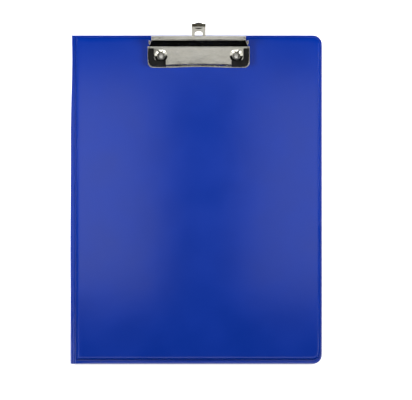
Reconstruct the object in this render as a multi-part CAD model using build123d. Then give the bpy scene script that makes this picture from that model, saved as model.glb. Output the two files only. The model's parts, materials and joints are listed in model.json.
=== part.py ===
from build123d import *
from math import asin, atan2, ceil, cos, pi, radians, sin, sqrt, tan
import os

# Fold-over clipboard folder for A4 paper, lying on its back with the cover folded right round behind the
# board. X runs across the board with the spine at -X, Y runs along it towards the hanging hook, Z points up.
# The origin is the centre of the board panel, on the surface that the folded cover lies on. Millimetres.

# Panels: the board and the cover are the same size
panel_width = 240.0
panel_height = 320.0
corner_radius = 8.8
skin = 0.35
core = 2.0

# Welded rim round each core, and the run of the sheet from the rim up to the face
rim_left = 0.5
rim_right = 1.5
rim_top = 1.5
rim_bottom = 3.8
slope_run = 2.4
core_clearance = 0.1

# Spine: each half reaches out from its panel and bends halfway round to meet the other
spine_reach = 5.4

# Document pocket on the inside of the cover
pocket_sheet = 0.3
pocket_margin = 6.0
pocket_height = 214.0
pocket_corner_radius = 4.0
thumb_notch_radius = 16.0

# Clearances of the clip's parts
board_clearance = 0.15
metal_clearance = 0.1
fit_clearance = 0.05

# Clip jaw: a pressed plate with a riser up to the lever. Y lengths run from the axle, heights from the board
jaw_sheet = 0.9
jaw_width = 99.2
plate_height = 5.6
plate_depth = 17.9
plate_corner_radius = 4.2
plate_bend_radius = 0.3
foot_depth = 2.5
foot_corner_radius = 5.0
foot_bend_radius = 0.7
crease_ahead_of_axle = 3.2
crease_radius = 0.9
riser_run = 3.5
riser_rise = 5.8
riser_lap = 3.2
lever_depth = 5.0
lever_lip = 2.1
lever_bend_radius = 0.5
lever_side_radius = 0.8
ear_set_in = 2.2
lever_set_in = 2.0
side_lean = 20.0
side_taper = 7.0
jaw_ear_radius = 2.9

# L-shaped grips in the jaw's front corners
grip_side_margin = 1.2
grip_front_proud = 1.2
grip_top_proud = 0.3
grip_length = 16.7
grip_leg_depth = 4.8
grip_leg_width = 5.2
grip_to_crease = 2.5
grip_corner_radius = 4.0
grip_inner_radius = 3.0
grip_end_radius = 0.6
grip_edge_chamfer = 0.3
grip_underside = 3.2
grip_tab = 0.8
grip_tab_height = 0.75
pad_clearance = 0.12

# Rivets and the dished access holes over them
rivet_set_in = 13.2
rivet_shank_radius = 2.0
rivet_head_radius = 3.5
rivet_head_height = 1.6
rivet_tail_radius = 3.2
rivet_tail_height = 0.5
rivet_tail_clearance = 0.2
access_clearance = 0.4
access_web = 0.5
dish_run = 2.4
dish_depth = 1.0

# Base plate with the axle's ears
base_sheet = 0.8
base_front_margin = 2.8
base_behind_axle = 3.9
base_corner_radius = 3.0
base_ear_gap = 1.1
base_ear_radius = 2.4

# Axle and the torsion springs round it
axle_from_top_edge = 7.9
axle_height = 3.5
axle_radius = 1.25
axle_head_radius = 1.9
axle_head_length = 0.8
spring_x = 25.0
wire_radius = 0.5
wire_sides = 6
coil_radius = 2.1
coil_pitch = 1.45
coil_turns = 3
spring_upper_leg = 5.4
spring_lower_leg = 3.6

# Hanging hook and the channel that it slides in
hook_sheet = 0.8
hook_leg_width = 2.9
hook_window_width = 7.6
hook_bend_from_axle = 16.3
hook_bend_radius = 0.6
window_to_bend = 3.6
window_arch = 1.6
hook_tail_width = 18.0
hook_tail_length = 2.0
hook_crossbar = 3.5
flap_length = 2.9
flap_slope = 45.0
flap_hump = 2.5
flap_hump_width = 7.2
flap_shoulder_radius = 0.9
dent_width = 8.4
dent_length = 1.4
dent_depth = 0.3
dent_to_bend = 1.1
channel_side_clearance = 0.15
channel_narrow_length = 6.45
channel_edge_radius = 0.5

# Heights of the stack, from the surface up
panel_gap = rivet_tail_height + rivet_tail_clearance
cover_core_z = pocket_sheet + skin
cover_skin_z = cover_core_z + core
cover_top = cover_skin_z + skin
board_skin_z = cover_top + panel_gap
board_core_z = board_skin_z + skin
board_top = board_core_z + core + skin

# Edges of the panels
half_width = panel_width / 2
half_height = panel_height / 2

# Places of the clip's parts
axle_y = half_height - axle_from_top_edge
crease_y = axle_y - crease_ahead_of_axle
jaw_front = crease_y - plate_depth
foot_front = jaw_front - foot_depth
foot_top = board_clearance + jaw_sheet
lever_front = crease_y + riser_run
lever_rear = lever_front + lever_depth
lever_height = plate_height + riser_rise
riser_angle = atan2(riser_rise, riser_run)
jaw_half = jaw_width / 2
ear_half = jaw_half - ear_set_in
lever_half = ear_half - lever_set_in
base_half = ear_half - jaw_sheet - base_ear_gap
grip_outer_x = jaw_half - grip_side_margin
grip_inner_x = grip_outer_x - grip_length
grip_leg_x = grip_outer_x - grip_leg_width
grip_front = jaw_front - grip_front_proud
grip_leg_rear = grip_front + grip_leg_depth
grip_rear = crease_y - grip_to_crease
access_radius = rivet_head_radius + access_clearance
rivet_x = jaw_half - rivet_set_in
rivet_y = grip_leg_rear + access_web + access_radius
base_front = rivet_y - base_front_margin
base_rear = axle_y + base_behind_axle
hook_half = hook_window_width / 2 + hook_leg_width
hook_bend_y = axle_y + hook_bend_from_axle
window_rear = hook_bend_y - window_to_bend
window_shoulder = window_rear - window_arch
channel_height = hook_sheet + 2 * metal_clearance
channel_shoulder = base_rear - channel_narrow_length
hook_tail_front = channel_shoulder - fit_clearance - hook_tail_length


# Helpers

def outline(*corners):
    """A closed face through corners given as (x, y, radius)."""
    points = [(x, y) for x, y, radius in corners]
    radii = [radius for x, y, radius in corners]
    return make_face(FilletPolyline(*points, radius=radii, close=True))


def block(x_range, y_range, z_range):
    """A plain box between the two values of each range."""
    low, high = (Vector(*corner) for corner in zip(x_range, y_range, z_range))
    size = high - low
    return Pos(low + size * 0.5) * Box(size.X, size.Y, size.Z)


def front_face(half, front, radius, rear):
    """A plan with two rounded front corners and a straight rear edge."""
    return outline((-half, front, radius), (half, front, radius), (half, rear, 0), (-half, rear, 0))


def top_edges(solid):
    return solid.faces().sort_by(Axis.Z)[-1].edges()


def both_sides(piece):
    """The piece on the right and its mirror image on the left."""
    return [piece, mirror(piece, about=Plane.YZ)]


# Panels

def panel_face():
    return outline(
        (-half_width, -half_height, 0),
        (half_width, -half_height, corner_radius),
        (half_width, half_height, corner_radius),
        (-half_width, half_height, 0),
    )


def raised_face(inset):
    """The outline where the liner leaves the welded rim, moved in by an inset."""
    left = rim_left + inset - half_width
    right = half_width - rim_right - inset
    bottom = rim_bottom + inset - half_height
    top = half_height - rim_top - inset
    radius = corner_radius - rim_right - inset
    return outline((left, bottom, 0), (right, bottom, radius), (right, top, radius), (left, top, 0))


slope_angle = atan2(slope_run, core)
hollow_inset = skin / cos(slope_angle) - skin * tan(slope_angle)
core_inset = hollow_inset + slope_run + core_clearance


def flat_skin():
    return extrude(panel_face(), skin)


def core_board():
    return extrude(raised_face(core_inset), core)


def raised_liner():
    """The liner sheet: a flat welded rim, a slope all round and the raised face over the core."""
    mound = loft(
        [Pos(0, 0, skin) * raised_face(0), Pos(0, 0, core + skin) * raised_face(slope_run)], ruled=True
    )
    hollow = loft(
        [raised_face(hollow_inset), Pos(0, 0, core) * raised_face(hollow_inset + slope_run)], ruled=True
    )
    return flat_skin() + mound - hollow


def rivet_holes():
    """Cutters for the rivet shanks, through everything that the clip is riveted to."""
    hole = Pos(rivet_x, rivet_y, board_top) * Cylinder(rivet_shank_radius + fit_clearance, 4 * board_top)
    return both_sides(hole)


def board_back_skin():
    return Pos(0, 0, board_skin_z) * flat_skin() - rivet_holes()


def board_core():
    return Pos(0, 0, board_core_z) * core_board() - rivet_holes()


def board_liner():
    return Pos(0, 0, board_core_z) * raised_liner() - rivet_holes()


def cover_outer_skin():
    return Pos(0, 0, cover_skin_z) * flat_skin()


def cover_core():
    return Pos(0, 0, cover_core_z) * core_board()


def cover_liner():
    return Pos(0, 0, cover_skin_z) * mirror(raised_liner(), about=Plane.XY)


def cover_pocket():
    """The pocket sheet on the folded cover's underside, open towards the clip, with a thumb notch."""
    left = rim_left + slope_run + pocket_margin - half_width
    right = half_width - rim_right - slope_run - pocket_margin
    bottom = rim_bottom + slope_run + pocket_margin - half_height
    top = bottom + pocket_height
    radius = pocket_corner_radius
    sheet = outline((left, bottom, radius), (right, bottom, radius), (right, top, radius), (left, top, radius))
    notch = Pos((left + right) / 2, top) * Circle(thumb_notch_radius)
    return extrude(sheet - notch, pocket_sheet)


# Spine: two sheets, each in an upper and a lower half that meet at the fold

fold_z = (cover_top + board_skin_z) / 2
spine_radius = board_core_z + skin - fold_z


def spine_layer(outer_radius, side):
    """Half of one sheet of the folded spine: flat beside its panel, then a quarter bend to the fold."""
    bend_x = spine_radius - spine_reach - half_width
    slant = sqrt(0.5)

    def edge_points(radius):
        return [
            (-half_width, fold_z + side * radius),
            (bend_x, fold_z + side * radius),
            (bend_x - radius * slant, fold_z + side * radius * slant),
            (bend_x - radius, fold_z),
        ]

    outer = edge_points(outer_radius)
    inner = edge_points(outer_radius - skin)
    section = make_face(
        [
            Line(outer[0], outer[1]),
            ThreePointArc(outer[1], outer[2], outer[3]),
            Line(outer[3], inner[3]),
            ThreePointArc(inner[3], inner[2], inner[1]),
            Line(inner[1], inner[0]),
            Line(inner[0], outer[0]),
        ]
    )
    return extrude(Plane.XZ * section, half_height, both=True)


def spine_liner(side):
    return spine_layer(spine_radius, side)


def spine_skin(side):
    return spine_layer(spine_radius - skin, side)


# Clip base plate

def channel_face(margin):
    """Plan of the hook's channel: wide for its tail, narrow behind the shoulder."""
    wide = hook_tail_width / 2 + channel_side_clearance + margin
    narrow = hook_half + channel_side_clearance + margin
    length = channel_shoulder + margin - base_front
    wide_part = Rectangle(2 * wide, length, align=(Align.CENTER, Align.MIN))
    narrow_part = Rectangle(2 * narrow, base_rear - base_front, align=(Align.CENTER, Align.MIN))
    return Pos(0, base_front) * (wide_part + narrow_part)


def base_ear():
    """The right-hand upright ear of the base plate, rounded about the axle."""
    stem = Pos(axle_y, axle_height / 2) * Rectangle(2 * base_ear_radius, axle_height)
    tip = Pos(axle_y, axle_height) * Circle(base_ear_radius)
    bore = Pos(axle_y, axle_height) * Circle(axle_radius + fit_clearance)
    return Pos(base_half - base_sheet, 0, 0) * extrude(Plane.YZ * (stem + tip - bore), base_sheet)


def clip_base_plate():
    plate = extrude(front_face(base_half, base_front, base_corner_radius, base_rear), base_sheet)
    roof = extrude(channel_face(base_sheet), channel_height + base_sheet)
    roof = fillet(top_edges(roof).filter_by(Axis.Y), channel_edge_radius)
    plate = plate + roof - extrude(channel_face(0), channel_height)
    plate = plate + both_sides(base_ear())
    return Pos(0, 0, board_top) * plate - rivet_holes()


# Rivets

def clip_rivets():
    """Dome-headed rivets through the base plate and the board, each with a set tail behind the board."""
    dome_radius = (rivet_head_radius ** 2 + rivet_head_height ** 2) / (2 * rivet_head_height)
    head_z = board_top + base_sheet
    tail_z = board_skin_z - rivet_tail_height
    half_section = make_face(
        [
            Line((0, tail_z), (rivet_tail_radius, tail_z)),
            Line((rivet_tail_radius, tail_z), (rivet_tail_radius, board_skin_z)),
            Line((rivet_tail_radius, board_skin_z), (rivet_shank_radius, board_skin_z)),
            Line((rivet_shank_radius, board_skin_z), (rivet_shank_radius, head_z)),
            Line((rivet_shank_radius, head_z), (rivet_head_radius, head_z)),
            RadiusArc((rivet_head_radius, head_z), (0, head_z + rivet_head_height), -dome_radius),
            Line((0, head_z + rivet_head_height), (0, tail_z)),
        ]
    )
    rivet = revolve(Plane.XZ * half_section, Axis.Z)
    return Compound(children=[Pos(side * rivet_x, rivet_y, 0) * rivet for side in (-1, 1)])


# Clip jaw

def rear_profile(inset):
    """Side section of the crease, riser and lever as one block, moved in by an inset."""
    shift = inset * tan(riser_angle / 2)
    start = crease_y - riser_lap + inset
    plate_z = plate_height - inset
    lever_z = lever_height - inset
    bend = lever_bend_radius + jaw_sheet - inset
    return outline(
        (start, -inset, 0),
        (start, plate_z, 0),
        (crease_y + shift, plate_z, crease_radius + inset),
        (lever_front + shift, lever_z, bend),
        (lever_rear - inset, lever_z, bend),
        (lever_rear - inset, -inset, 0),
    )


def rear_block(inset):
    """The rear profile between the jaw's two sides, which stand upright at the ears and lean in above."""
    body = extrude(Plane.YZ * rear_profile(inset), ear_half - inset, both=True)
    lean = radians(side_lean)
    taper = radians(side_taper)
    for side in (-1, 1):
        normal = Vector(side * cos(lean) * cos(taper), cos(lean) * sin(taper), sin(lean))
        edge = Vector(side * lever_half, lever_front, lever_height)
        body = split(body, bisect_by=Plane(origin=edge - normal * inset, z_dir=normal), keep=Keep.BOTTOM)
    return body


def rounded_rear_block():
    """The outside of the rear block, with its leaning sides rounded into the riser and the lever."""
    body = rear_block(0)
    leaning = [face for face in body.faces() if abs(face.normal_at().X) > 0.5 and face.normal_at().Z > 0.2]
    above_ears = [
        edge for face in leaning for edge in face.edges()
        if edge.center().Z > plate_height + crease_radius and edge.center().Y < lever_rear - lever_bend_radius
    ]
    return fillet(above_ears, lever_side_radius)


def ear_face():
    """Side section that the jaw's sides keep below the lever: a flange narrowing to a round ear."""
    lip_z = lever_height - lever_lip
    flange = Polyline(
        (axle_y - jaw_ear_radius, axle_height),
        (crease_y - crease_radius, plate_height - jaw_sheet),
        (crease_y - crease_radius, lever_height + jaw_sheet),
        (lever_rear + jaw_sheet, lever_height + jaw_sheet),
        (lever_rear + jaw_sheet, lip_z),
        (lever_rear - jaw_sheet, lip_z),
        (axle_y + jaw_ear_radius, axle_height),
        close=True,
    )
    return Pos(axle_y, axle_height) * Circle(jaw_ear_radius) + make_face(flange)


def rear_trim():
    """Cutter for all that hangs below the lever behind the crease, apart from the ears and their flanges."""
    depth = 2 * (lever_rear - crease_y)
    height = lever_height + jaw_sheet
    behind = Pos(crease_y, -jaw_sheet) * Rectangle(depth, height, align=(Align.MIN, Align.MIN))
    return extrude(Plane.YZ * (behind - ear_face()), jaw_width, both=True)


def front_shell():
    """The outside of the plate with its walls and foot, and the cavity inside them."""
    inner = jaw_half - jaw_sheet
    wall_rear = jaw_front + jaw_sheet
    plate = extrude(
        front_face(jaw_half, jaw_front, plate_corner_radius, crease_y), plate_height - board_clearance
    )
    plate = fillet(top_edges(plate), plate_bend_radius + jaw_sheet)
    foot = extrude(front_face(jaw_half, foot_front, foot_corner_radius, crease_y), jaw_sheet)
    cavity_plan = front_face(inner, wall_rear, plate_corner_radius - jaw_sheet, crease_y - jaw_sheet)
    cavity = extrude(cavity_plan, plate_height - jaw_sheet)
    return Pos(0, 0, board_clearance) * (plate + foot), cavity


def dish_metal():
    """The metal that a dished access hole pushes down below the plate."""
    angle = atan2(dish_depth, dish_run)
    rim = access_radius + dish_run + jaw_sheet * tan(angle / 2)
    drop = (rim - access_radius) * tan(angle)
    cone = Cone(access_radius, rim, drop, align=(Align.CENTER, Align.CENTER, Align.MAX))
    return Pos(rivet_x, rivet_y, plate_height - jaw_sheet) * cone


def dish_opening():
    """Cutter for a dish and the access hole in it."""
    hung = (Align.CENTER, Align.CENTER, Align.MAX)
    cone = Cone(access_radius, access_radius + dish_run, dish_depth, align=hung)
    hole = Cylinder(access_radius, plate_height, align=hung)
    return Pos(rivet_x, rivet_y, plate_height) * (cone + hole)


def grip_face(clearance):
    """Plan of the right-hand L-shaped grip, drawn in by a clearance."""
    inner = grip_inner_x + clearance
    outer = grip_outer_x - clearance
    leg = grip_leg_x + clearance
    front = grip_front + clearance
    leg_rear = grip_leg_rear - clearance
    rear = grip_rear - clearance
    return outline(
        (inner, front, grip_end_radius),
        (outer, front, grip_corner_radius),
        (outer, rear, grip_end_radius),
        (leg, rear, grip_end_radius),
        (leg, leg_rear, grip_inner_radius),
        (inner, leg_rear, grip_end_radius),
    )


def clip_jaw():
    """The pressed jaw: plate, walls and foot in front, riser and lever behind, ears round the axle."""
    shell, cavity = front_shell()
    shell = shell + (rounded_rear_block() - rear_trim())
    shell = shell - cavity - rear_block(jaw_sheet)
    window = Pos(0, 0, foot_top) * extrude(grip_face(0), lever_height)
    shell = shell + both_sides(dish_metal()) - both_sides(dish_opening()) - both_sides(window)
    bore = Rot(0, 90, 0) * Cylinder(axle_radius + fit_clearance, 2 * jaw_width)
    shell = shell - Pos(0, axle_y, axle_height) * bore
    foot_bend = [
        edge for edge in shell.edges().filter_by(Axis.X)
        if abs(edge.center().Y - jaw_front) < 0.01 and abs(edge.center().Z - foot_top) < 0.01
    ]
    return Pos(0, 0, board_top) * fillet(foot_bend, foot_bend_radius)


def grip():
    """The right-hand rubber grip: an L proud of the plate, a pad down to the paper and two tabs."""
    body_height = plate_height + grip_top_proud - grip_underside
    body = Pos(0, 0, grip_underside) * extrude(grip_face(fit_clearance), body_height)
    body = chamfer(top_edges(body), grip_edge_chamfer)
    leg_x = grip_leg_x + fit_clearance
    leg_rear = grip_leg_rear - fit_clearance
    inside_y = jaw_front + jaw_sheet + fit_clearance
    front_z = foot_top + fit_clearance
    tab_top = plate_height - jaw_sheet - fit_clearance
    tab_z = (tab_top - grip_tab_height, tab_top)
    across = Pos(0, leg_rear) * Rectangle(2 * jaw_width, 2 * grip_leg_depth, align=(Align.CENTER, Align.MAX))
    front_leg = Pos(0, 0, front_z) * extrude(grip_face(fit_clearance) & across, grip_underside - front_z)
    pad = block((grip_inner_x + fit_clearance, leg_x), (inside_y, leg_rear), (pad_clearance, grip_underside))
    end_tab = block((grip_inner_x - grip_tab, grip_inner_x + grip_tab), (inside_y, leg_rear), tab_z)
    rear_tab = block((leg_x, grip_outer_x - grip_tab), (grip_rear - grip_tab, grip_rear + grip_tab), tab_z)
    return Pos(0, 0, board_top) * (body + front_leg + pad + end_tab + rear_tab)


# Axle and springs

def clip_axle():
    """The axle with its two set heads, outside the jaw's ears."""
    head_x = ear_half + metal_clearance
    shaft = Cylinder(axle_radius, 2 * head_x)
    head = Pos(0, 0, head_x + axle_head_length / 2) * Cylinder(axle_head_radius, axle_head_length)
    axle = shaft + head + mirror(head, about=Plane.XY)
    return Pos(0, axle_y, board_top + axle_height) * (Rot(0, 90, 0) * axle)


leg_drop = axle_height - coil_radius - wire_radius - base_sheet - fit_clearance
coil_start = 3 * pi / 2 - asin(leg_drop / spring_lower_leg)
coil_sweep = coil_start - pi / 2 - riser_angle + 2 * pi * coil_turns
coil_steps = ceil(coil_sweep / pi)
coil_length = coil_pitch * coil_sweep / (2 * pi)


def coil_point(angle):
    """A point on the wire's centre line, after the wire has turned clockwise, seen from +X, by an angle."""
    turn = coil_start - angle
    advance = coil_pitch * angle / (2 * pi) - coil_length / 2
    return Vector(advance, coil_radius * cos(turn), coil_radius * sin(turn))


def coil_tangent(angle):
    turn = coil_start - angle
    return Vector(coil_pitch / (2 * pi), coil_radius * sin(turn), -coil_radius * cos(turn)).normalized()


def biarc(start, start_tangent, end, end_tangent):
    """Two arcs, tangent to each other, between two points with given directions."""
    chord = end - start
    spread = 2 * (1 - start_tangent.dot(end_tangent))
    reach = chord.dot(start_tangent + end_tangent)
    handle = (sqrt(reach * reach + spread * chord.dot(chord)) - reach) / spread
    middle = (start + end) * 0.5 + (start_tangent - end_tangent) * (handle / 2)
    first = TangentArc(start, middle, tangent=start_tangent)
    return [first, TangentArc(middle, end, tangent=first % 1)]


def wire_path():
    """The spring's centre line: a leg, the coil in half turns, and the other leg."""
    angles = [coil_sweep * step / coil_steps for step in range(coil_steps + 1)]
    stations = [(coil_point(angle), coil_tangent(angle)) for angle in angles]
    edges = []
    for (start, start_tangent), (end, end_tangent) in zip(stations, stations[1:]):
        edges += biarc(start, start_tangent, end, end_tangent)
    first, first_tangent = stations[0]
    last, last_tangent = stations[-1]
    lower_leg = Line(first - first_tangent * spring_lower_leg, first)
    upper_leg = Line(last, last + last_tangent * spring_upper_leg)
    return Wire([lower_leg, *edges, upper_leg])


def clip_spring():
    """The right-hand torsion spring, one leg on the base plate and one up under the lever."""
    path = wire_path()
    section = Plane(origin=path @ 0, z_dir=path % 0) * RegularPolygon(wire_radius, wire_sides)
    return Pos(spring_x, axle_y, board_top + axle_height) * sweep(section, path=path)


def least_turn_gap():
    """The least gap between a spring's turns and legs, measured on points along its wire."""
    path = wire_path()
    count = 400
    points = [path @ (step / count) for step in range(count + 1)]
    apart = ceil(pi * coil_radius / (path.length / count))
    gaps = [(points[j] - points[i]).length for i in range(count + 1) for j in range(i + apart, count + 1)]
    return min(gaps) - 2 * wire_radius


# Hanging hook

def hook_section():
    """Side section of the strip's rear end and the finger tab, with the bend between them."""
    slope = radians(flap_slope)
    length = flap_length + flap_hump
    tip_y = hook_bend_y + length * cos(slope)
    tip_z = hook_sheet + length * sin(slope)
    return outline(
        (window_shoulder, 0, 0),
        (hook_bend_y + hook_sheet * tan(slope / 2), 0, hook_bend_radius + hook_sheet),
        (tip_y + hook_sheet * sin(slope), tip_z - hook_sheet * cos(slope), 0),
        (tip_y, tip_z, 0),
        (hook_bend_y, hook_sheet, hook_bend_radius),
        (window_shoulder, hook_sheet, 0),
    )


def hump_trim():
    """Cutter, square to the finger tab, that leaves its central hump standing."""
    side = 2 * hook_half
    hump = flap_hump_width / 2
    clear = flap_length + 2 * flap_hump
    face = make_face(
        [
            Line((-side, flap_length), (-hump, flap_length)),
            ThreePointArc((-hump, flap_length), (0, flap_length + flap_hump), (hump, flap_length)),
            Line((hump, flap_length), (side, flap_length)),
            Line((side, flap_length), (side, clear)),
            Line((side, clear), (-side, clear)),
            Line((-side, clear), (-side, flap_length)),
        ]
    )
    shoulders = [corner for corner in face.vertices() if abs(corner.X) < hook_half]
    cutter = extrude(fillet(shoulders, flap_shoulder_radius), 2 * hook_sheet, both=True)
    return Pos(0, hook_bend_y, hook_sheet) * (Rot(flap_slope, 0, 0) * cutter)


def hook_strip_face():
    """Plan of the flat strip with the tail that the channel's shoulder stops."""
    strip_length = window_shoulder - hook_tail_front
    strip = Rectangle(2 * hook_half, strip_length, align=(Align.CENTER, Align.MIN))
    tail = Rectangle(hook_tail_width, hook_tail_length, align=(Align.CENTER, Align.MIN))
    return Pos(0, hook_tail_front) * (strip + tail)


def hook_window_face():
    """Plan of the window that hangs on a nail, arched at the rear."""
    half = hook_window_width / 2
    front = hook_tail_front + hook_crossbar
    return make_face(
        [
            Line((-half, front), (half, front)),
            Line((half, front), (half, window_shoulder)),
            ThreePointArc((half, window_shoulder), (0, window_rear), (-half, window_shoulder)),
            Line((-half, window_shoulder), (-half, front)),
        ]
    )


def dent_face():
    """Plan of the crescent-shaped fingernail dent in front of the bend."""
    half = dent_width / 2
    rear = hook_bend_y - dent_to_bend
    arc = ThreePointArc((half, rear), (0, rear - dent_length), (-half, rear))
    return make_face([Line((-half, rear), (half, rear)), arc])


def hanging_hook():
    tab = extrude(Plane.YZ * hook_section(), hook_half, both=True) - hump_trim()
    window = extrude(hook_window_face(), hook_sheet, both=True)
    dent = Pos(0, 0, hook_sheet - dent_depth) * extrude(dent_face(), hook_sheet)
    body = extrude(hook_strip_face(), hook_sheet) + tab - window - dent
    return Pos(0, 0, board_top + metal_clearance) * body


grip_right, grip_left = both_sides(grip())
spring_right, spring_left = both_sides(clip_spring())

sub_parts = {
    "board_core": board_core(),
    "board_back_skin": board_back_skin(),
    "board_liner": board_liner(),
    "clip_base_plate": clip_base_plate(),
    "clip_rivets": clip_rivets(),
    "clip_axle": clip_axle(),
    "clip_spring_left": spring_left,
    "clip_spring_right": spring_right,
    "clip_jaw": clip_jaw(),
    "grip_left": grip_left,
    "grip_right": grip_right,
    "hanging_hook": hanging_hook(),
    "spine_upper_liner": spine_liner(1),
    "spine_upper_skin": spine_skin(1),
    "spine_lower_liner": spine_liner(-1),
    "spine_lower_skin": spine_skin(-1),
    "cover_core": cover_core(),
    "cover_outer_skin": cover_outer_skin(),
    "cover_liner": cover_liner(),
    "cover_pocket": cover_pocket(),
}

os.makedirs("parts", exist_ok=True)
for name, shape in sub_parts.items():
    export_step(shape, f"parts/{name}.step")

print(f"least gap between spring turns: {least_turn_gap():.2f} mm")
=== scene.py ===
# %% [markdown]
# # Dressing a clipboard folder
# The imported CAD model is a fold-over clipboard folder: a board and a cover in blue PVC sheet, a soft
# spine between them, a sprung metal clip and a hanging hook. It lies on its back with the cover folded
# right round behind the board. Here the soft sheets get formed meshes, every piece gets its finish, and
# the whole is lit and seen from straight above.
#
# The CAD frame is fixed, so every new piece is placed from the boxes of the nodes that it stands for.

# %% Load the fixed frame
import json
import math

import bmesh
import bpy
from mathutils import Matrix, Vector


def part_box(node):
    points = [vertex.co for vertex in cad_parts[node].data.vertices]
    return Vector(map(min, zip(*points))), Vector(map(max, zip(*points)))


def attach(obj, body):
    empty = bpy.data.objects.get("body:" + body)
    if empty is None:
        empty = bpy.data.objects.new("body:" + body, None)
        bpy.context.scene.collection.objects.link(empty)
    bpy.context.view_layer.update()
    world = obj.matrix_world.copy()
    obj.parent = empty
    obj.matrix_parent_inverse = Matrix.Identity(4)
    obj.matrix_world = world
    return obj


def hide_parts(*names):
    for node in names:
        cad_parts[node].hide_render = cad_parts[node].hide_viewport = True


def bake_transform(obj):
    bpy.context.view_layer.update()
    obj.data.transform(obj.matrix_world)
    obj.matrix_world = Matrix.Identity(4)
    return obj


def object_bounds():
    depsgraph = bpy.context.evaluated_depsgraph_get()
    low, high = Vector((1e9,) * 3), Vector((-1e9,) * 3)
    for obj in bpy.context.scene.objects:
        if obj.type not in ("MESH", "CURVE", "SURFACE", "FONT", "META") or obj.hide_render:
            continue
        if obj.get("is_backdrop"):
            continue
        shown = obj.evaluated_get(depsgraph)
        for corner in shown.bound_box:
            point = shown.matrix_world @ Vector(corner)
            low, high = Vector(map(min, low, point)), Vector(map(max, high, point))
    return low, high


mm = 0.001
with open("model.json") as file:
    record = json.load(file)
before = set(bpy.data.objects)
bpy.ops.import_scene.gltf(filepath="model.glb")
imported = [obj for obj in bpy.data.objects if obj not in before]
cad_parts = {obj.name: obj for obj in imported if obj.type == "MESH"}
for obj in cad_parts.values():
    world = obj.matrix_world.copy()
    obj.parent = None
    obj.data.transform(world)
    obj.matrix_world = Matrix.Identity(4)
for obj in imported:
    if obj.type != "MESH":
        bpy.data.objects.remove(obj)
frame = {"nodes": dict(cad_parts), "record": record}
cad_box = [list(corner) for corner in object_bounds()]

# %% [markdown]
# ## Helpers for meshes
# Almost every piece here is a skin pulled over a row of closed outlines: a loft. The outlines have the
# same number of points, neighbours are joined with four-sided faces, and the first and last outlines are
# capped. A modifier stack on a primitive could get near, but a loft puts each edge loop where the real
# sheet bends.

# %% From a bmesh to an object
def piece_from_bmesh(name, bm, smooth_angle=40.0):
    """A new object from a bmesh, with normals outwards and smooth shading below an angle."""
    bmesh.ops.recalc_face_normals(bm, faces=bm.faces)
    limit = math.radians(smooth_angle)
    for face in bm.faces:
        face.smooth = True
    for edge in bm.edges:
        if len(edge.link_faces) == 2 and edge.calc_face_angle(0.0) > limit:
            edge.smooth = False
    mesh = bpy.data.meshes.new(name)
    bm.to_mesh(mesh)
    bm.free()
    piece = bpy.data.objects.new(name, mesh)
    bpy.context.scene.collection.objects.link(piece)
    return piece


# %% Loft and blending helpers
def loft(name, outlines, smooth_angle=50.0):
    """A closed skin over outlines with equal numbers of points, capped at both ends."""
    bm = bmesh.new()
    rows = [[bm.verts.new(point) for point in outline] for outline in outlines]
    count = len(rows[0])
    for row, following in zip(rows, rows[1:]):
        for i in range(count):
            j = (i + 1) % count
            bm.faces.new((row[i], row[j], following[j], following[i]))
    bm.faces.new(list(reversed(rows[0])))
    bm.faces.new(rows[-1])
    return piece_from_bmesh(name, bm, smooth_angle)


def mixed(low, high, share):
    """The value at a share of the way from low to high."""
    return low + (high - low) * share


def clamped(share):
    return min(max(share, 0.0), 1.0)


def eased(share):
    """0 to 1 with a soft start and end."""
    share = clamped(share)
    return share * share * (3 - 2 * share)


# %% [markdown]
# ## Shared surface effects
# Three effects turn up in several finishes: a fine grain, soft cloudy patches and rubbed marks. Each is a
# shader node group, built once and placed in each material with its own values. Painted image textures
# could do the same, but procedural noise has no seams and no resolution limit.

# %% Group and node helpers
def new_group(name, inputs, outputs):
    """A group with float inputs {name: default} and float outputs, and the sockets inside it."""
    group = bpy.data.node_groups.new(name, "ShaderNodeTree")
    for label, value in inputs.items():
        socket = group.interface.new_socket(name=label, in_out="INPUT", socket_type="NodeSocketFloat")
        socket.default_value = value
    for label in outputs:
        group.interface.new_socket(name=label, in_out="OUTPUT", socket_type="NodeSocketFloat")
    entry = group.nodes.new("NodeGroupInput")
    leave = group.nodes.new("NodeGroupOutput")
    return group, entry.outputs, leave.inputs


def feed(tree, entry, value):
    """Sets an input to a value, or links it where the value is a socket."""
    if isinstance(value, bpy.types.NodeSocket):
        tree.links.new(value, entry)
    else:
        entry.default_value = value


def add_node(tree, kind, inputs=(), **settings):
    """A new node with settings, such as operation="DIVIDE", and with its inputs fed."""
    node = tree.nodes.new(kind)
    for key, value in settings.items():
        setattr(node, key, value)
    for label, value in dict(inputs).items():
        feed(tree, node.inputs[label], value)
    return node


# %% Helpers for values and textures
def reckoned(tree, operation, *terms):
    """The result of a Math node on terms that are numbers or sockets."""
    return add_node(tree, "ShaderNodeMath", enumerate(terms), operation=operation).outputs["Value"]


def ranged(tree, value, start=0.0, end=1.0, low=0.0, high=1.0, kind="SMOOTHSTEP"):
    """Goes from low to high while the value goes from start to end."""
    inputs = {"Value": value, "From Min": start, "From Max": end, "To Min": low, "To Max": high}
    return add_node(tree, "ShaderNodeMapRange", inputs, interpolation_type=kind).outputs["Result"]


def object_place(tree):
    return add_node(tree, "ShaderNodeTexCoord").outputs["Object"]


def laid_along(group, vector, size):
    """Inputs that lay a texture along a vector at a scale of one over its size."""
    return {"Vector": vector, "Scale": reckoned(group, "DIVIDE", 1.0, size)}


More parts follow.
